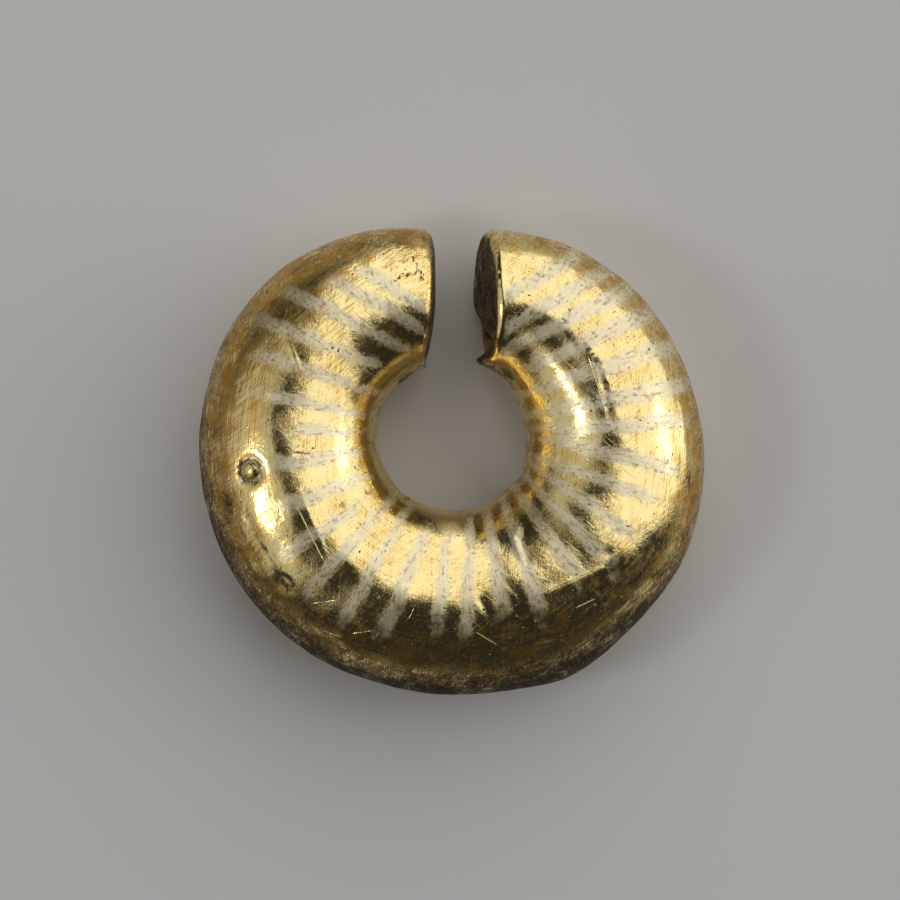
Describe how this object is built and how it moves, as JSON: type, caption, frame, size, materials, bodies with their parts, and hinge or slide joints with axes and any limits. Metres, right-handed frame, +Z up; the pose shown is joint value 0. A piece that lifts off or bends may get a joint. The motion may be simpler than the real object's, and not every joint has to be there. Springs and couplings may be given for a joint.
{
  "type": "ring money",
  "caption": "Plump open ring of gold with pale stripes, ancient ring money, lying flat, with a gap between its plain ends.",
  "frame": {"origin": "on the surface that the ring lies on, under the middle of its outline seen from above", "axes": "+Z up, out of the front that the picture shows; +Y towards the gap; +X to the right, with the torn end on the +X side of the gap"},
  "size_m": [0.0168, 0.0156, 0.0055],
  "materials": {
    "gold": "worn, scratched gold with flush stripes of pale electrum and brown tarnish in the hollows"
  },
  "bodies": {
    "root": {"ring_money": "gold"}
  },
  "joints": []
}
